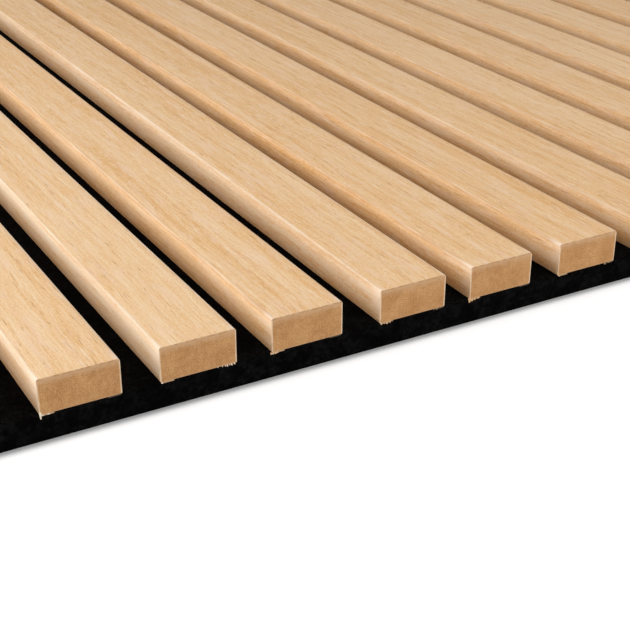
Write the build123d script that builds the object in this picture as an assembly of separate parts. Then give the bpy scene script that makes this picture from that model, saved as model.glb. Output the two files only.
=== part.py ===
from build123d import *
import math
import os

# Slatted acoustic wall panel, lying on its back. Millimetres.
# The origin is the centre of the felt's back face. +Z points out of the slatted face,
# +Y runs along the slats away from the end that is seen, and +X runs across them.

# Whole panel
panel_length = 600.0          # along the slats
panel_width = 600.0           # across the slats
felt_thickness = 9.4

# Slats: a fibreboard core with oak veneer folded round it
slat_pitch = 40.0
slat_width = 27.0             # over the veneer
core_height = 12.0            # stock board thickness
veneer_thickness = 0.5
top_edge_radius = 0.3         # on the core, under the veneer
bottom_edge_radius = 0.5      # on the core, where the veneer turns under
lip_length = 4.2              # veneer returned under the core, from the core's side
drifted_slat = 5              # this slat was set down a little off the pitch
slat_drift = 2.1

# Wire staples, driven through the felt from behind
staple_crown = 12.8           # outside width
staple_leg = 14.0             # from the crown's outer face to the point
staple_wire_width = 0.95      # along the slat
staple_wire_thickness = 0.65
staple_bend_radius = 0.65     # outside, at the ends of the crown
staple_point_bevel = 0.4
staple_recess = 0.5           # the crown is pulled this far into the felt
dimple_margin = 0.5           # pressed felt round the crown
staple_end_distance = 60.0    # from each end of a slat to its first staple
staple_spacing_limit = 240.0

# Sizes that follow
core_width = slat_width - 2 * veneer_thickness
slat_count = int(panel_width // slat_pitch)
staple_row_length = panel_length - 2 * staple_end_distance
staples_per_slat = math.ceil(staple_row_length / staple_spacing_limit) + 1
staple_spacing = staple_row_length / (staples_per_slat - 1)


def slat_x(number):
    """Middle of a slat across the panel. Slats are numbered from 1, from -X to +X."""
    drift = slat_drift if number == drifted_slat else 0
    return (number - (slat_count + 1) / 2) * slat_pitch + drift


def along_panel(outline):
    """A cross-section drawn in XZ, pulled over the whole length of the panel."""
    return extrude(Plane.XZ.offset(-panel_length / 2) * outline, amount=panel_length)


def core_outline():
    """Section of the core, standing on the felt's face, with eased edges."""
    outline = Rectangle(core_width, core_height, align=(Align.CENTER, Align.MIN))
    outline = fillet(outline.vertices().group_by(Axis.Y)[-1], top_edge_radius)
    outline = fillet(outline.vertices().group_by(Axis.Y)[0], bottom_edge_radius)
    return Pos(0, felt_thickness) * outline


def wrap_outline():
    """Section of the veneer: an even skin over the core, open below between its two lips."""
    skin = offset(core_outline(), amount=veneer_thickness, kind=Kind.ARC) - core_outline()
    opening = Rectangle(core_width - 2 * lip_length, core_height)
    return skin - Pos(0, felt_thickness) * opening


def staple():
    """One staple under the middle of the panel, with its points up."""
    inside = Rectangle(
        staple_crown - 2 * staple_wire_thickness,
        staple_leg,
        align=(Align.CENTER, Align.MIN),
    )
    outline = Rectangle(staple_crown, staple_leg, align=(Align.CENTER, Align.MIN))
    outline = fillet(outline.vertices().group_by(Axis.Y)[0], staple_bend_radius)
    outline = outline - Pos(0, staple_wire_thickness) * inside
    points = outline.vertices().group_by(Axis.Y)[-1].sort_by(Axis.X)
    outline = chamfer([points[0], points[-1]], staple_point_bevel)
    outline = Pos(0, staple_recess) * outline
    return extrude(Plane.XZ * outline, amount=staple_wire_width / 2, both=True)


def dimple():
    """The felt that is pressed in round one staple's crown."""
    return Box(
        staple_crown + 2 * dimple_margin,
        staple_wire_width + 2 * dimple_margin,
        staple_recess + staple_wire_thickness,
        align=(Align.CENTER, Align.CENTER, Align.MIN),
    )


def staple_places():
    """Where the staples of one slat stand along it."""
    return GridLocations(0, staple_spacing, 1, staples_per_slat)


def felt_backing(wraps, staples):
    """The felt board, pressed in under the veneer's lips and round the staples."""
    board = Box(
        panel_width,
        panel_length,
        felt_thickness,
        align=(Align.CENTER, Align.CENTER, Align.MIN),
    )
    one_dimple = dimple()
    dimples = [
        Pos(slat_x(number), 0) * place * one_dimple
        for number in slat_numbers
        for place in staple_places()
    ]
    return board - wraps - dimples - staples


def save(shape, node):
    shape.label = node
    export_step(shape, f"parts/{node}.step")


os.makedirs("parts", exist_ok=True)
slat_numbers = range(1, slat_count + 1)

one_row = [place * staple() for place in staple_places()]
one_core = along_panel(core_outline()) - one_row
one_wrap = along_panel(wrap_outline())

cores = [Pos(slat_x(number), 0) * one_core for number in slat_numbers]
wraps = [Pos(slat_x(number), 0) * one_wrap for number in slat_numbers]
staples = [Pos(slat_x(number), 0) * pin for number in slat_numbers for pin in one_row]

for number, core, wrap in zip(slat_numbers, cores, wraps):
    save(core, f"slat_core_{number:02d}")
    save(wrap, f"slat_veneer_{number:02d}")
save(Compound(children=staples), "staples")
save(felt_backing(wraps, staples), "felt_backing")
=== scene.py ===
import math
import random

import bmesh
import bpy
from mathutils import Euler, Matrix, Vector


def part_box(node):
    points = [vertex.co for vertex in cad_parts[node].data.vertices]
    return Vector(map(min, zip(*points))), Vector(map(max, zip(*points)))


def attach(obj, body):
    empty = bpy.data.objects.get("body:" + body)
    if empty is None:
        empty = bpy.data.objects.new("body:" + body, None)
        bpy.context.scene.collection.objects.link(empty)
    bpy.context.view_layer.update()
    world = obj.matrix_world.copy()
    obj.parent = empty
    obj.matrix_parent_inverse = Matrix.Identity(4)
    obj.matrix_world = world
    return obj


# The slatted panel lies on its back: slats along Y, across X, and Z up out of the slatted face.
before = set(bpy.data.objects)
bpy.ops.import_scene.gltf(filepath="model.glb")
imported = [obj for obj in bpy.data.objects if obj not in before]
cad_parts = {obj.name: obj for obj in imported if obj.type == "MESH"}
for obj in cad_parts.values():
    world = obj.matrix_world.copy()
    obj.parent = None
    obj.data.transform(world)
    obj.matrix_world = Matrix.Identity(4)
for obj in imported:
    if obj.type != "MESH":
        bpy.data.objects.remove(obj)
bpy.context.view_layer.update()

MM = 0.001

# Sizes and places read from the frame
felt_low, felt_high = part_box("felt_backing")
first_low, first_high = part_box("slat_veneer_01")
second_low, second_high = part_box("slat_veneer_02")
core_low, core_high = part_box("slat_core_01")
PITCH = second_low.x - first_low.x
SLAT_WIDTH = first_high.x - first_low.x
SLAT_TOP = first_high.z
FELT_TOP = felt_high.z
VENEER = core_low.x - first_low.x
NEAR_END = felt_low.y
FAR_END = felt_high.y
SLAT_COUNT = sum(name.startswith("slat_core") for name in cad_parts)
LEAST_DRIFT = 0.1 * MM                   # a slat less far off the pitch counts as on it


def slat_middle(number):
    """Middle of a slat across the panel. Slats are numbered from 1, from -X to +X."""
    low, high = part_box("slat_veneer_%02d" % number)
    return (low.x + high.x) / 2


def slat_row(number):
    """Place of a slat in pitches from the middle of the panel, if none had drifted."""
    return number - (SLAT_COUNT + 1) / 2


def slat_drift(number):
    """How far a slat lies from its place on the pitch."""
    return slat_middle(number) - slat_row(number) * PITCH


DRIFTS = {
    slat_row(number): slat_drift(number)
    for number in range(1, SLAT_COUNT + 1)
    if abs(slat_drift(number)) > LEAST_DRIFT
}

# The photograph is 630 pixels square, and the camera was fitted to the slats' edges in it
PHOTO_PIXELS = 630
LENS_PIXELS = 1293.2                     # focal length
SENSOR_WIDTH = 36.0
EYE = Vector((-345.8, -632.0, 219.4)) * MM
LOOK_ACROSS = math.radians(29.607)       # from +Y towards +X
LOOK_DOWN = math.radians(27.657)
LOOK_ROLL = math.radians(0.193)
NEAREST_SEEN = 0.01
FARTHEST_SEEN = 50.0

# Light: a low soft lamp on the left, a weaker one in front, and an even sky
SKY_LEVEL = 0.355
LAMPS = {
    "left_lamp": (Vector((-1.00, -0.08, 0.42)), 8.1),
    "front_lamp": (Vector((0.30, -1.10, 0.55)), 5.5),
}
LAMP_AIM = Vector((-0.10, -0.10, 0.0))
LAMP_SIZE = 0.6

# Floor: it glows white for the rays that show it, but for a dark line round the panel's foot
FLOOR_SIZE = 40.0
FLOOR_GREY = 0.62
FLOOR_LIFT = 0.6                         # strength of the glow beside the panel
FULL_LIFT = 1.0                          # and far off
LIFT_STARTS = abs(NEAR_END)              # how far from the panel's middle it starts to rise
LIFT_ENDS = 3 * abs(NEAR_END)
CONTACT_REACH = 6.3 * MM                 # how far off the panel's edge still darkens the floor
CONTACT_DARK = 0.56                      # share of open sky at which the dark line is full
CONTACT_CLEAR = 0.92                     # and at which it ends

# Seeds: how pale each slat is and which stretch of grain it shows, how worn its edges and sides
# are and how much painted sheen and painted fold shade they get, how the torn straps lie that the
# photograph doesn't show closely, and how the loose felt lies
SLAT_SEED = 464183.5
WEAR_AND_SHEEN_SEED = 149603.5
STRAP_SEED = 21
FUZZ_SEED = 5

# The veneer's grain runs on through one long log, and each slat shows its own stretch and layer
# of it. These sizes are in millimetres, as the shaders count
LOG_LENGTH = 3700.0
LOG_DEPTH = 90.0
VENEER_SKIN = VENEER / MM
FOOT = (SLAT_TOP - FELT_TOP) / MM        # how far a slat's foot is below its top
RUBBED_AND_SHEEN_REACH = 1.6                       # of the pale rubbed edges, worn and painted with sheen
EASED_WIDTH = 3.2                        # of the soft rounding beside a fold
EASED_DEPTH = 0.18
SAW_SLANT = 0.75                         # of the saw's marks on the board, in radians

# Torn veneer seen at the sawn ends. Each strap: slat, its root's place across the slat from the
# middle and up from the felt, its length and width, all in millimetres, its lean to the right and
# how far it is lifted out of the end, in degrees
TORN_STRAPS = [
    (2, -13.2, 0.9, 2.2, 0.9, -2, 15),
    (2, -12.5, -0.1, 0.4, 1.2, 10, 12),
    (2, -10.6, -0.2, 0.3, 1.5, -8, 12),
    (3, 6.6, 0.2, 0.4, 0.5, 10, 40),
    (3, 8.3, 0.1, 0.5, 0.5, -20, 50),
    (3, 9.4, 0.0, 0.55, 0.45, 10, 50),
    (3, 10.1, 0.0, 0.7, 0.55, -10, 45),
    (3, 10.9, 0.0, 0.5, 0.45, 15, 55),
    (3, 11.6, 0.0, 0.75, 0.6, 0, 45),
    (3, 12.5, 0.1, 0.7, 0.6, 25, 50),
    (3, -12.9, -0.1, 0.5, 0.8, -20, 20),
    (4, -13.6, 0.0, 0.8, 0.9, -30, 15),
    (4, -13.0, -0.2, 0.65, 1.1, -5, 15),
    (4, -12.2, -0.2, 0.6, 1.2, 5, 15),
    (4, -11.5, -0.2, 0.5, 0.9, 15, 15),
    (4, 6.1, 0.2, 0.35, 0.5, -10, 20),
    (5, -12.8, -0.1, 0.55, 1.0, -10, 20),
    (5, -11.7, -0.2, 0.5, 0.6, 15, 30),
    (5, -10.6, -0.2, 0.7, 1.2, 0, 20),
    (5, -9.5, -0.2, 0.6, 0.7, 25, 30),
    (5, -8.5, 0.0, 0.45, 0.6, 10, 20),
    (5, 10.4, -0.1, 0.5, 0.5, -15, 20),
    (6, -13.3, 0.4, 1.7, 1.5, -14, 12),
    (6, -12.4, -0.1, 0.9, 1.6, -5, 15),
    (6, -11.2, -0.2, 0.6, 1.3, 10, 15),
    (6, -9.8, -0.2, 0.5, 1.0, 20, 15),
]
STRAP_ROOT = 0.1 * MM                    # how far inside the sawn end a strap starts

# Loose felt
FUZZ_ON_EDGE = 220                       # fibres on each of the board's four edges
FUZZ_IN_GAP = 16                         # and in each gap between two slats
FUZZ_ROOT = 0.08 * MM                    # how far inside the felt a fibre starts
GAP_MARGIN = 0.5 * MM                    # kept clear of fibres beside each slat


def colour(red, green, blue):
    """A screen colour, each part 0 to 255, as the linear colour that a shader takes."""
    def linear(part):
        share = part / 255
        return share / 12.92 if share <= 0.04045 else ((share + 0.055) / 1.055) ** 2.4
    return (linear(red), linear(green), linear(blue), 1.0)


# Colours
OAK_PALE = colour(250, 218, 177)
OAK_DEEP = colour(229, 176, 112)
OAK_PORE = colour(172, 114, 54)
OAK_FLECK = colour(253, 232, 202)
# pale rubbed wear with painted sheen, for the top edges and the sides' upper parts
OAK_RUBBED_AND_SHEEN = colour(239, 221, 197)
OAK_ROSY = colour(246, 213, 186)
# painted shade along the folds over the slats' top edges
OAK_FOLD_SHADE = colour(214, 172, 130)
OAK_CHAFED = colour(252, 228, 206)
VENEER_EDGE = colour(240, 210, 175)
# darker top band of a sawn end: the veneer's end grain with painted shade
VENEER_END_GRAIN_AND_SHADE = colour(196, 152, 108)
BOARD_TAN = colour(224, 173, 119)
BOARD_DARK = colour(174, 118, 66)
BOARD_PALE = colour(232, 192, 152)
BOARD_FACE = colour(218, 178, 138)
FELT_BLACK = colour(4, 3, 3)
FELT_GREY = colour(22, 21, 21)
LINT_GREY = colour(66, 66, 70)
TORN_PALE = colour(253, 236, 212)
TORN_TAN = colour(222, 176, 128)
WIRE_GREY = colour(176, 178, 182)
WIRE_DULL = colour(120, 121, 124)
WHITE = (1.0, 1.0, 1.0, 1.0)


# Shader nodes

def feed(tree, sockets, values):
    """Links each named socket to the node socket given for it, or sets it to the value given."""
    for name, value in values.items():
        if isinstance(value, bpy.types.NodeSocket):
            tree.links.new(value, sockets[name])
        else:
            sockets[name].default_value = value


def node(tree, kind, values=None, **settings):
    made = tree.nodes.new("ShaderNode" + kind)
    for name, value in settings.items():
        setattr(made, name, value)
    feed(tree, made.inputs, values or {})
    return made


def maths(tree, operation, first, second=0.0, third=0.0):
    values = {0: first, 1: second, 2: third}
    return node(tree, "Math", values, operation=operation).outputs[0]


def product(tree, first, *others):
    for other in others:
        first = maths(tree, "MULTIPLY", first, other)
    return first


def scaled(tree, vector, across, along, up):
    values = {0: vector, 1: (across, along, up)}
    return node(tree, "VectorMath", values, operation="MULTIPLY").outputs[0]


def noise(tree, vector, scale=1.0, detail=2.0, roughness=0.5):
    values = {"Vector": vector, "Scale": scale, "Detail": detail, "Roughness": roughness}
    return node(tree, "TexNoise", values).outputs[0]


def span(tree, value, low, high, to_low=0.0, to_high=1.0):
    """A value that runs from to_low to to_high as the input runs from low to high."""
    values = {"Value": value, "From Min": low, "From Max": high}
    values.update({"To Min": to_low, "To Max": to_high})
    return node(tree, "MapRange", values, interpolation_type="SMOOTHSTEP").outputs[0]


def blended(tree, share, first, second):
    """The first colour where the share is 0, the second where it is 1."""
    values = {0: share, 6: first, 7: second}
    return node(tree, "Mix", values, data_type="RGBA").outputs[2]


def bump(tree, height, strength, depth, under=None):
    """Relief of a depth in metres, on top of another relief if one is given."""
    values = {"Height": height, "Strength": strength, "Distance": depth}
    if under is not None:
        values["Normal"] = under
    return node(tree, "Bump", values).outputs[0]


def chance_of(tree, number, seed):
    """A chance value from 0 to 1 that is the same wherever the number is the same."""
    values = {"W": maths(tree, "ADD", number, seed)}
    return node(tree, "TexWhiteNoise", values, noise_dimensions="1D").outputs[0]


def start_group(name, inputs, outputs):
    """A new node group: its tree, what it is given and what it puts out."""
    tree = bpy.data.node_groups.new(name, "ShaderNodeTree")
    for label, kind, value in inputs:
        socket = tree.interface.new_socket(label, in_out="INPUT", socket_type="NodeSocket" + kind)
        if value is not None:
            socket.default_value = value
    for label, kind in outputs:
        tree.interface.new_socket(label, in_out="OUTPUT", socket_type="NodeSocket" + kind)
    given = tree.nodes.new("NodeGroupInput").outputs
    result = tree.nodes.new("NodeGroupOutput").inputs
    return tree, given, result


def use_group(tree, group, values):
    made = tree.nodes.new("ShaderNodeGroup")
    made.node_tree = group
    feed(tree, made.inputs, values)
    return made.outputs


def make_slat_place():
    """Where a point is on its own slat, in millimetres, with the section laid out flat."""
    labels = ("Across", "Below", "Along", "Slat", "WearAndSheen")
    tree, given, result = start_group(
        "slat_place",
        [("Position", "Vector", None)],
        [("Flat", "Vector")] + [(label, "Float") for label in labels],
    )
    axes = node(tree, "SeparateXYZ", {0: given["Position"]}).outputs
    number = maths(tree, "ROUND", maths(tree, "DIVIDE", axes[0], PITCH))
    middle = product(tree, number, PITCH)
    for row, drift in DRIFTS.items():
        here = maths(tree, "COMPARE", number, row, 0.5)
        middle = maths(tree, "MULTIPLY_ADD", here, drift, middle)
    across = maths(tree, "DIVIDE", maths(tree, "SUBTRACT", axes[0], middle), MM)
    below = maths(tree, "DIVIDE", maths(tree, "SUBTRACT", SLAT_TOP, axes[2]), MM)
    along = maths(tree, "DIVIDE", axes[1], MM)
    side = product(tree, maths(tree, "SIGN", across), below)
    laid_out = maths(tree, "ADD", across, side)
    chance = chance_of(tree, number, SLAT_SEED)
    # per slat: how worn it is and how much painted sheen and painted fold shade it gets
    slat_wear_and_sheen = chance_of(tree, number, WEAR_AND_SHEEN_SEED)
    stretch = maths(tree, "MULTIPLY_ADD", chance, LOG_LENGTH, along)
    layer = product(tree, chance, LOG_DEPTH)
    flat = node(tree, "CombineXYZ", {0: laid_out, 1: stretch, 2: layer}).outputs[0]
    feed(tree, result, {
        "Flat": flat,
        "Across": across,
        "Below": below,
        "Along": along,
        "Slat": chance,
        "WearAndSheen": slat_wear_and_sheen,
    })
    return tree


def make_oak_grain():
    """Straight oak grain: bands, streaks and fibres as one tone, open pores and pale flecks."""
    tree, given, result = start_group(
        "oak_grain",
        [("Flat", "Vector", None), ("Waver", "Float", 5.0)],
        [("Tone", "Float"), ("Pore", "Float"), ("Fleck", "Float"), ("Height", "Float")],
    )
    flat = given["Flat"]
    slow = noise(tree, scaled(tree, flat, 0.06, 0.016, 1.0), detail=1.0)
    quick = noise(tree, scaled(tree, flat, 0.5, 0.11, 2.0), detail=1.0)
    sway = product(tree, maths(tree, "SUBTRACT", slow, 0.5), given["Waver"])
    sway = maths(tree, "MULTIPLY_ADD", maths(tree, "SUBTRACT", quick, 0.5), 0.4, sway)
    push = node(tree, "CombineXYZ", {0: sway}).outputs[0]
    grain = node(tree, "VectorMath", {0: flat, 1: push}, operation="ADD").outputs[0]
    wide = span(tree, noise(tree, scaled(tree, grain, 0.13, 0.004, 1.0), detail=1.0), 0.3, 0.7)
    streaks = noise(tree, scaled(tree, grain, 0.5, 0.012, 2.0), detail=3.0, roughness=0.6)
    streak = span(tree, streaks, 0.33, 0.67)
    thin = noise(tree, scaled(tree, grain, 1.9, 0.06, 3.0), detail=4.0, roughness=0.75)
    fibre = span(tree, thin, 0.3, 0.7)
    short = noise(tree, scaled(tree, grain, 1.7, 0.8, 7.0), detail=2.0)
    tone = maths(tree, "MULTIPLY_ADD", wide, 0.2, product(tree, streak, 0.3))
    tone = maths(tree, "MULTIPLY_ADD", fibre, 0.5, tone)
    tone = maths(tree, "MULTIPLY_ADD", maths(tree, "SUBTRACT", short, 0.5), 1.1, tone)
    dash = noise(tree, scaled(tree, grain, 3.0, 0.12, 4.0), detail=3.0, roughness=0.45)
    limit = span(tree, streaks, 0.35, 0.65, 0.7, 0.58)
    pore = span(tree, maths(tree, "SUBTRACT", dash, limit), 0.0, 0.1)
    stroke = noise(tree, scaled(tree, grain, 2.4, 0.09, 5.0), detail=2.0)
    fleck = span(tree, stroke, 0.58, 0.72)
    raised = maths(tree, "MULTIPLY_ADD", fibre, 0.35, 0.6)
    height = maths(tree, "SUBTRACT", raised, pore)
    feed(tree, result, {"Tone": tone, "Pore": pore, "Fleck": fleck, "Height": height})
    return tree


def make_rubbed_and_sheened_edge():
    """Where a slat's top edges are rubbed pale, partly wear and partly painted sheen, and how far
    in a point is, in millimetres.

    Distance is from the nearest top edge, over the top or down the side. Inset is from the side.
    """
    tree, given, result = start_group(
        "rubbed_and_sheened_edge",
        [
            ("Flat", "Vector", None),
            ("Across", "Float", 0.0),
            ("Below", "Float", 0.0),
            ("Reach", "Float", 1.0),
        ],
        [("RubbedAndSheened", "Float"), ("Distance", "Float"), ("Inset", "Float")],
    )
    off_middle = maths(tree, "ABSOLUTE", given["Across"])
    inset = maths(tree, "SUBTRACT", SLAT_WIDTH / MM / 2, off_middle)
    distance = maths(tree, "ADD", maths(tree, "MAXIMUM", inset, 0.0), given["Below"])
    near = maths(tree, "DIVIDE", distance, given["Reach"])
    patchy = noise(tree, scaled(tree, given["Flat"], 0.3, 0.035, 6.0), detail=3.0, roughness=0.6)
    worn_and_sheened = maths(tree, "MULTIPLY_ADD", patchy, 2.4, product(tree, near, -1.0))
    # pale rubbed band along the top edges: partly wear, partly painted sheen
    rubbed_and_sheened = span(tree, worn_and_sheened, 0.6, 1.4)
    feed(tree, result, {"RubbedAndSheened": rubbed_and_sheened, "Distance": distance, "Inset": inset})
    return tree


def make_fibre_mottle():
    """Matted fibres: soft patches, fine specks and a few short hairs. Size is in millimetres."""
    tree, given, result = start_group(
        "fibre_mottle",
        [("Position", "Vector", None), ("Size", "Float", 1.0)],
        [("Patch", "Float"), ("Speck", "Float"), ("Hair", "Float"), ("Height", "Float")],
    )
    place = given["Position"]
    scale = maths(tree, "DIVIDE", 1 / MM, given["Size"])
    wide = noise(tree, place, product(tree, scale, 0.25), detail=2.0)
    patch = span(tree, wide, 0.3, 0.7)
    grit = noise(tree, place, scale, detail=3.0, roughness=0.75)
    speck = span(tree, grit, 0.3, 0.7)
    hair_scale = product(tree, scale, 0.5)
    strand = noise(tree, scaled(tree, place, 1.0, 6.0, 2.5), hair_scale, detail=2.0)
    crossed = noise(tree, scaled(tree, place, 5.0, 1.2, 3.0), hair_scale, detail=2.0)
    hair = span(tree, maths(tree, "MAXIMUM", strand, crossed), 0.6, 0.74)
    height = maths(tree, "MULTIPLY_ADD", hair, 0.5, speck)
    feed(tree, result, {"Patch": patch, "Speck": speck, "Hair": hair, "Height": height})
    return tree


# Materials

def start_material(name):
    """A new material with its node tree, its shader's sockets and the texture coordinates."""
    made = bpy.data.materials.new(name)
    made.use_nodes = True
    tree = made.node_tree
    shader = tree.nodes["Principled BSDF"]
    texture = node(tree, "TexCoord").outputs
    return made, tree, shader.inputs, texture


def grained_oak(tree, place, grain):
    """The wood's own colour: its tone, rosy stretches, pale flecks and open pores."""
    tone = maths(tree, "ADD", grain["Tone"], span(tree, place["Slat"], 0.0, 1.0, 0.14, -0.04))
    rosy = noise(tree, scaled(tree, place["Flat"], 0.35, 0.05, 8.0), detail=3.0, roughness=0.65)
    wood = blended(tree, tone, OAK_PALE, OAK_DEEP)
    wood = blended(tree, span(tree, rosy, 0.48, 0.7, 0.0, 0.45), wood, OAK_ROSY)
    wood = blended(tree, product(tree, grain["Fleck"], 0.55), wood, OAK_FLECK)
    return blended(tree, product(tree, grain["Pore"], 0.6), wood, OAK_PORE)


def fold_shade_edge_wear_and_sheen(tree, place, edge, wood):
    """Painted shade in broken darker strokes where the veneer folds over the top edges, and the
    edges rubbed pale in places, partly wear and partly painted sheen.
    """
    strokes = noise(tree, scaled(tree, place["Flat"], 0.9, 0.07, 11.0), detail=2.0)
    # painted shade along the folds, less on the more worn and sheened slats
    painted_fold_shade = product(
        tree,
        span(tree, edge["Distance"], 1.7, 0.4),
        span(tree, strokes, 0.36, 0.62, 0.2, 0.9),
        span(tree, place["WearAndSheen"], 0.2, 0.8, 1.0, 0.65),
    )
    # pale rubbed edges: partly wear, partly painted sheen
    rubbed_and_sheened = product(tree, edge["RubbedAndSheened"], span(tree, place["WearAndSheen"], 0.1, 0.7, 0.35, 0.55))
    wood = blended(tree, painted_fold_shade, wood, OAK_FOLD_SHADE)
    return blended(tree, rubbed_and_sheened, wood, OAK_RUBBED_AND_SHEEN)


def sides_sheened_and_worn(tree, place, edge, grain, wood):
    """Sides painted pale from their tops down as a painted highlight, partly wear, more so and
    further down on a more worn and sheened slat.
    """
    reach = maths(tree, "MULTIPLY_ADD", place["WearAndSheen"], 6.0, 5.0)
    # painted highlight on the sides' upper parts, partly wear
    side_sheen_and_wear = product(
        tree,
        span(tree, maths(tree, "DIVIDE", place["Below"], reach), 1.3, 0.3, 0.25, 1.0),
        span(tree, place["WearAndSheen"], 0.2, 0.95, 0.0, 0.72),
        span(tree, edge["Inset"], 1.2, 0.4),
        span(tree, grain["Tone"], 0.2, 0.8, 1.3, 0.4),
    )
    return blended(tree, side_sheen_and_wear, wood, OAK_RUBBED_AND_SHEEN)


def chafed_end(tree, place, edge, wood):
    """Near the end in view, the sides are chafed pale in blotches, and the corners too."""
    blotch = noise(tree, scaled(tree, place["Flat"], 0.5, 0.1, 4.0), detail=3.0, roughness=0.6)
    from_end = maths(tree, "SUBTRACT", place["Along"], NEAR_END / MM)
    spread = maths(tree, "SUBTRACT", product(tree, blotch, 22.0), from_end)
    chafed = product(
        tree,
        span(tree, spread, 2.0, 11.0, 0.0, 0.45),
        span(tree, place["Below"], 0.4, 1.2),
        span(tree, place["Below"], 12.0, 4.0, 0.3, 1.0),
    )
    corner = product(
        tree,
        span(tree, from_end, 9.0, 0.5),
        span(tree, edge["Distance"], 2.2, 0.4),
        span(tree, blotch, 0.3, 0.6, 0.2, 0.8),
    )
    return blended(tree, maths(tree, "MAXIMUM", chafed, corner), wood, OAK_CHAFED)


def sawn_veneer(tree, texture, place, edge):
    """The veneer's own cut edge at a sawn end, darker along its top with end grain and painted
    shade, smeared dark with felt at its foot.
    """
    uneven = noise(tree, texture["Object"], scale=0.5 / MM, detail=1.0)
    inset = maths(tree, "MULTIPLY_ADD", uneven, -0.8, edge["Inset"])
    side_cut = blended(tree, span(tree, inset, 0.05, -0.25), BOARD_FACE, VENEER_EDGE)
    # the top band of the cut is darker: end grain with painted shade
    top_cut_and_shade = blended(tree, span(tree, uneven, 0.35, 0.6), BOARD_FACE, VENEER_END_GRAIN_AND_SHADE)
    under_skin = span(tree, place["Below"], VENEER_SKIN, VENEER_SKIN + 0.4)
    cut = blended(tree, under_skin, top_cut_and_shade, side_cut)
    drawn_right = maths(tree, "MULTIPLY_ADD", place["Across"], 0.04, uneven)
    smeared = product(
        tree,
        span(tree, place["Below"], FOOT - 0.3, FOOT + 0.2),
        span(tree, drawn_right, 0.3, 0.6, 0.25, 0.9),
    )
    return blended(tree, smeared, cut, FELT_GREY)


def make_oak_veneer():
    """Light oak veneer with painted shade along its folds, its wear with painted sheen, and its
    sawn edge.
    """
    made, tree, shader, texture = start_material("oak_veneer")
    place = use_group(tree, slat_place, {"Position": texture["Object"]})
    grain = use_group(tree, oak_grain, {"Flat": place["Flat"]})
    edge = use_group(tree, rubbed_and_sheened_edge, {
        "Flat": place["Flat"],
        "Across": place["Across"],
        "Below": place["Below"],
        "Reach": RUBBED_AND_SHEEN_REACH,
    })
    wood = grained_oak(tree, place, grain)
    wood = fold_shade_edge_wear_and_sheen(tree, place, edge, wood)
    wood = sides_sheened_and_worn(tree, place, edge, grain, wood)
    wood = chafed_end(tree, place, edge, wood)
    facing = node(tree, "SeparateXYZ", {0: texture["Normal"]}).outputs
    sawn = span(tree, maths(tree, "ABSOLUTE", facing[1]), 0.7, 0.9)
    cut = sawn_veneer(tree, texture, place, edge)
    from_fold = span(tree, edge["Distance"], 0.0, EASED_WIDTH)
    eased = bump(tree, from_fold, 1.0, EASED_DEPTH * MM)
    feed(tree, shader, {
        "Base Color": blended(tree, sawn, wood, cut),
        "Roughness": span(tree, grain["Tone"], 0.0, 1.0, 0.66, 0.54),
        "Normal": bump(tree, grain["Height"], 0.35, 0.04 * MM, eased),
        "Specular IOR Level": 0.25,
    })
    return made


def make_fibreboard():
    """Matted tan board with slanting saw marks, paler to a ragged depth under its top face."""
    made, tree, shader, texture = start_material("fibreboard")
    place = use_group(tree, slat_place, {"Position": texture["Object"]})
    fibres = use_group(tree, fibre_mottle, {"Position": texture["Object"], "Size": 0.4})
    broad = noise(tree, texture["Object"], scale=0.12 / MM, detail=1.0)
    clumps = product(tree, fibres["Speck"], 0.8)
    clumps = maths(tree, "MULTIPLY_ADD", fibres["Patch"], 0.22, clumps)
    clumps = maths(tree, "ADD", clumps, span(tree, broad, 0.35, 0.65, -0.16, 0.04))
    board = blended(tree, clumps, BOARD_TAN, BOARD_DARK)
    board = blended(tree, product(tree, fibres["Hair"], 0.7), board, BOARD_PALE)
    slanted = node(tree, "Mapping", {
        "Vector": texture["Object"],
        "Rotation": (0, SAW_SLANT, 0),
        "Scale": (1.8 / MM, 1 / MM, 0.1 / MM),
    }).outputs[0]
    marks = noise(tree, slanted, detail=1.0)
    board = blended(tree, span(tree, marks, 0.5, 0.72, 0.0, 0.25), board, BOARD_DARK)
    ragged = noise(tree, texture["Object"], scale=0.4 / MM, detail=3.0, roughness=0.6)
    depth = maths(tree, "MULTIPLY_ADD", ragged, -4.0, place["Below"])
    board = blended(tree, span(tree, depth, 1.0, -1.6, 0.0, 0.7), board, BOARD_FACE)
    at_foot = span(tree, place["Below"], FOOT - 0.5, FOOT)
    board = blended(tree, product(tree, at_foot, 0.5), board, BOARD_FACE)
    feed(tree, shader, {
        "Base Color": board,
        "Roughness": span(tree, fibres["Patch"], 0.0, 1.0, 0.95, 0.8),
        "Normal": bump(tree, fibres["Height"], 0.4, 0.06 * MM),
        "Specular IOR Level": 0.15,
    })
    return made


def make_black_felt():
    """Matted black felt with a little grey lint."""
    made, tree, shader, texture = start_material("black_felt")
    fibres = use_group(tree, fibre_mottle, {"Position": texture["Object"], "Size": 1.6})
    matted = product(tree, fibres["Speck"], fibres["Patch"])
    felt = blended(tree, matted, FELT_BLACK, FELT_GREY)
    feed(tree, shader, {
        "Base Color": blended(tree, product(tree, fibres["Hair"], 0.03), felt, LINT_GREY),
        "Roughness": span(tree, fibres["Speck"], 0.0, 1.0, 1.0, 0.9),
        "Normal": bump(tree, fibres["Height"], 0.8, 0.25 * MM),
        "Specular IOR Level": 0.02,
    })
    return made


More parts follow.
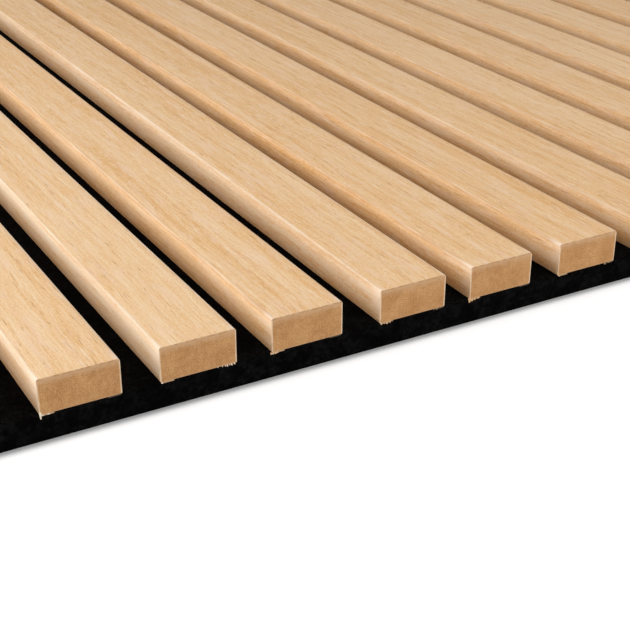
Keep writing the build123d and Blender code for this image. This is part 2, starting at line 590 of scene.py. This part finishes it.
def make_staple_wire():
    """Grey wire, dull in patches."""
    made, tree, shader, texture = start_material("staple_wire")
    fibres = use_group(tree, fibre_mottle, {"Position": texture["Object"], "Size": 0.6})
    feed(tree, shader, {
        "Base Color": blended(tree, fibres["Patch"], WIRE_GREY, WIRE_DULL),
        "Roughness": span(tree, fibres["Speck"], 0.0, 1.0, 0.3, 0.5),
        "Normal": bump(tree, fibres["Hair"], 0.3, 0.02 * MM),
        "Metallic": 1.0,
    })
    return made


def make_torn_veneer():
    """Raw torn fibres of veneer, paler on some slats than on others."""
    made, tree, shader, texture = start_material("torn_veneer")
    place = use_group(tree, slat_place, {"Position": texture["Object"]})
    fibres = use_group(tree, fibre_mottle, {"Position": texture["Object"], "Size": 0.2})
    pale = maths(tree, "MULTIPLY_ADD", fibres["Patch"], -0.4, place["Slat"])
    wood = blended(tree, span(tree, pale, 0.1, 0.55), TORN_TAN, TORN_PALE)
    feed(tree, shader, {
        "Base Color": blended(tree, product(tree, fibres["Hair"], 0.5), wood, OAK_FLECK),
        "Roughness": span(tree, fibres["Speck"], 0.0, 1.0, 0.6, 0.85),
        "Normal": bump(tree, fibres["Height"], 0.4, 0.03 * MM),
        "Specular IOR Level": 0.2,
    })
    return made


def assign(piece, material):
    piece.data.materials.clear()
    piece.data.materials.append(material)


# Torn veneer and loose felt

def pick(piece, test):
    """In edit mode, selects only the corners whose place passes the test."""
    bpy.ops.mesh.select_mode(type="VERT")
    shape = bmesh.from_edit_mesh(piece.data)
    for corner in shape.verts:
        corner.select_set(test(corner.co))
    shape.select_flush_mode()
    bmesh.update_edit_mesh(piece.data)


def model_strand(name, sides, flatness, turns, taper):
    """A strand one unit long and wide, hanging from the origin, that curls and narrows.

    At each turn, all that is below it turns by that many degrees and narrows by the taper.
    """
    bpy.ops.object.select_all(action="DESELECT")
    bpy.ops.mesh.primitive_cylinder_add(
        vertices=sides, radius=0.5, depth=1.0, location=(0, 0, -0.5)
    )
    strand = bpy.context.object
    strand.name = name
    bpy.ops.object.transform_apply(location=True, rotation=False, scale=False)
    bpy.ops.object.mode_set(mode="EDIT")
    heights = [-(step + 1) / (len(turns) + 1) for step in range(len(turns))]
    for height in heights:
        bpy.ops.mesh.select_all(action="SELECT")
        bpy.ops.mesh.bisect(plane_co=(0, 0, height), plane_no=(0, 0, 1))
    bpy.ops.mesh.select_all(action="SELECT")
    bpy.ops.transform.resize(value=(1, flatness, 1), center_override=(0, 0, 0))
    for height, angle in reversed(list(zip(heights, turns))):
        joint = (0, 0, height)
        pick(strand, lambda place: place.z < height - 0.01)
        bpy.ops.transform.rotate(
            value=math.radians(angle), orient_axis="X", center_override=joint
        )
        bpy.ops.transform.resize(value=(taper, taper, 1), center_override=joint)
    bpy.ops.object.mode_set(mode="OBJECT")
    return strand


def strew(strand, name, places, material):
    """One piece of copies of a strand. A place is its root, its turn and its size.

    The size is the strand's width, thickness and length.
    """
    bpy.ops.object.select_all(action="DESELECT")
    for root, turn, size in places:
        made = strand.copy()
        made.data = strand.data.copy()
        placed = Matrix.Translation(root) @ turn.to_matrix().to_4x4()
        made.matrix_world = placed @ Matrix.Diagonal((*size, 1))
        bpy.context.scene.collection.objects.link(made)
        made.select_set(True)
    bpy.context.view_layer.objects.active = made
    bpy.ops.object.join()
    bpy.ops.object.transform_apply()
    piece = bpy.context.object
    piece.name = name
    assign(piece, material)
    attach(piece, "root")


def strap_place(slat, across, up, length, width, lean, lift):
    """Where a strap of TORN_STRAPS or of stray_straps hangs."""
    root = Vector((slat_middle(slat) + across * MM, NEAR_END + STRAP_ROOT, FELT_TOP + up * MM))
    turn = Euler((math.radians(-lift), math.radians(-lean), 0))
    return root, turn, (width * MM, width * MM, length * MM)


def stray_straps(slat, chance):
    """A few small straps on the two lips of a slat that the photograph doesn't show closely."""
    up, lift = -0.15, 20
    for side in (-1, 1):
        for _ in range(chance.randint(1, 3)):
            across = side * chance.uniform(9.0, 13.0)
            length, width = chance.uniform(0.4, 0.6), chance.uniform(0.4, 1.0)
            lean = chance.uniform(-25, 25)
            yield slat, across, up, length, width, lean, lift


def tear_ends(material):
    """Torn straps of veneer at the near end of each slat."""
    strap = model_strand("strap", sides=6, flatness=0.3, turns=(8, -10, 16), taper=0.76)
    chance = random.Random(STRAP_SEED)
    shown = {row[0] for row in TORN_STRAPS}
    for slat in range(1, SLAT_COUNT + 1):
        if slat in shown:
            rows = [row for row in TORN_STRAPS if row[0] == slat]
        else:
            rows = stray_straps(slat, chance)
        places = [strap_place(*row) for row in rows]
        strew(strap, "saw_fray_%02d" % slat, places, material)
    bpy.data.objects.remove(strap)


def fuzz_place(root, outward, chance):
    """A short fibre that leaves the felt at its root, more or less straight out."""
    hanging = Vector((0, 0, -1))
    stray = Vector((chance.uniform(-1, 1), chance.uniform(-1, 1), chance.uniform(-1, 1)))
    way = (outward * 1.3 + stray).normalized()
    spin = Euler((0, 0, chance.uniform(0, math.tau))).to_quaternion()
    turn = hanging.rotation_difference(way) @ spin
    thick, length = chance.uniform(0.08, 0.14) * MM, chance.uniform(0.5, 1.2) * MM
    return root - outward * FUZZ_ROOT, turn, (thick, thick, length)


def edge_fuzz(x, y, chance):
    """Fibres all along one edge of the felt, which faces the way that x and y give."""
    middle = (felt_low + felt_high) / 2
    half = (felt_high - felt_low) / 2
    for _ in range(FUZZ_ON_EDGE):
        along, up = chance.uniform(-0.999, 0.999), chance.uniform(-0.7, 0.95)
        share = Vector((x or along, y or along, up))
        root = middle + Vector(part * reach for part, reach in zip(share, half))
        yield fuzz_place(root, Vector((x, y, 0)), chance)


def gap_fuzz(chance):
    """Fibres that stand up from the felt between the slats."""
    for number in range(1, SLAT_COUNT):
        start = slat_middle(number) + SLAT_WIDTH / 2 + GAP_MARGIN
        end = slat_middle(number + 1) - SLAT_WIDTH / 2 - GAP_MARGIN
        for _ in range(FUZZ_IN_GAP):
            across, along = chance.uniform(start, end), chance.uniform(NEAR_END, FAR_END)
            yield fuzz_place(Vector((across, along, FELT_TOP)), Vector((0, 0, 1)), chance)


def loosen_felt(material):
    """Loose fibres on the felt's four edges and in its gaps."""
    fibre = model_strand("fibre", sides=4, flatness=0.8, turns=(24, 18, 26), taper=0.8)
    chance = random.Random(FUZZ_SEED)
    edges = {"front": (0, -1), "back": (0, 1), "left": (-1, 0), "right": (1, 0)}
    for side, (x, y) in edges.items():
        strew(fibre, "felt_fuzz_" + side, edge_fuzz(x, y, chance), material)
    strew(fibre, "felt_fuzz_gaps", gap_fuzz(chance), material)
    bpy.data.objects.remove(fibre)


# Light, floor and camera

def seen_ray(tree):
    """1 for rays that show the surroundings directly, in a mirror or through glass."""
    path = node(tree, "LightPath").outputs
    shown = maths(tree, "MAXIMUM", path["Is Camera Ray"], path["Is Glossy Ray"])
    return maths(tree, "MAXIMUM", shown, path["Is Transmission Ray"])


def make_sky():
    """An even sky that lights the panel less than it shows."""
    world = bpy.data.worlds.new("studio")
    bpy.context.scene.world = world
    world.use_nodes = True
    tree = world.node_tree
    level = span(tree, seen_ray(tree), 0.0, 1.0, SKY_LEVEL, 1.0)
    feed(tree, tree.nodes["Background"].inputs, {"Color": WHITE, "Strength": level})


def make_floor():
    """A white floor that still darkens under the panel's edge and in its shadow."""
    bpy.ops.mesh.primitive_plane_add(size=FLOOR_SIZE)
    floor = bpy.context.object
    floor.name = "floor"
    made, tree, shader, texture = start_material("floor_white")
    nearby = node(tree, "AmbientOcclusion", {"Distance": CONTACT_REACH}, samples=16)
    open_sky = nearby.outputs["AO"]
    clear = span(tree, open_sky, CONTACT_DARK, CONTACT_CLEAR)
    away = node(tree, "VectorMath", {0: texture["Object"]}, operation="LENGTH").outputs["Value"]
    level = span(tree, away, LIFT_STARTS, LIFT_ENDS, FLOOR_LIFT, FULL_LIFT)
    feed(tree, shader, {
        "Base Color": (FLOOR_GREY, FLOOR_GREY, FLOOR_GREY, 1.0),
        "Roughness": 1.0,
        "Specular IOR Level": 0.0,
        "Emission Color": WHITE,
        "Emission Strength": product(tree, seen_ray(tree), product(tree, clear, level)),
    })
    assign(floor, made)


def make_lamps():
    for name, (place, watts) in LAMPS.items():
        lamp = bpy.data.lights.new(name, "AREA")
        lamp.energy = watts
        lamp.size = LAMP_SIZE
        holder = bpy.data.objects.new(name, lamp)
        holder.location = place
        holder.rotation_euler = (place - LAMP_AIM).to_track_quat("Z", "Y").to_euler()
        bpy.context.scene.collection.objects.link(holder)


def make_camera():
    data = bpy.data.cameras.new("camera")
    data.sensor_width = SENSOR_WIDTH
    data.lens = LENS_PIXELS / PHOTO_PIXELS * SENSOR_WIDTH
    data.clip_start = NEAREST_SEEN
    data.clip_end = FARTHEST_SEEN
    camera = bpy.data.objects.new("camera", data)
    level = Vector((math.sin(LOOK_ACROSS), math.cos(LOOK_ACROSS), 0))
    ahead = level * math.cos(LOOK_DOWN) - Vector((0, 0, math.sin(LOOK_DOWN)))
    right = Vector((math.cos(LOOK_ACROSS), -math.sin(LOOK_ACROSS), 0))
    up = right.cross(ahead)
    turned_right = right * math.cos(LOOK_ROLL) + up * math.sin(LOOK_ROLL)
    turned_up = turned_right.cross(ahead)
    axes = Matrix((turned_right, turned_up, -ahead)).transposed().to_4x4()
    camera.matrix_world = Matrix.Translation(EYE) @ axes
    bpy.context.scene.collection.objects.link(camera)
    bpy.context.scene.camera = camera


slat_place = make_slat_place()
oak_grain = make_oak_grain()
rubbed_and_sheened_edge = make_rubbed_and_sheened_edge()
fibre_mottle = make_fibre_mottle()
FINISHES = {
    "slat_veneer": make_oak_veneer(),
    "slat_core": make_fibreboard(),
    "felt_backing": make_black_felt(),
    "staples": make_staple_wire(),
}
for name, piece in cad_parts.items():
    kind = next(start for start in FINISHES if name.startswith(start))
    assign(piece, FINISHES[kind])

tear_ends(make_torn_veneer())
loosen_felt(FINISHES["felt_backing"])

make_sky()
make_floor()
make_lamps()
make_camera()
bpy.context.scene.view_settings.view_transform = "Standard"
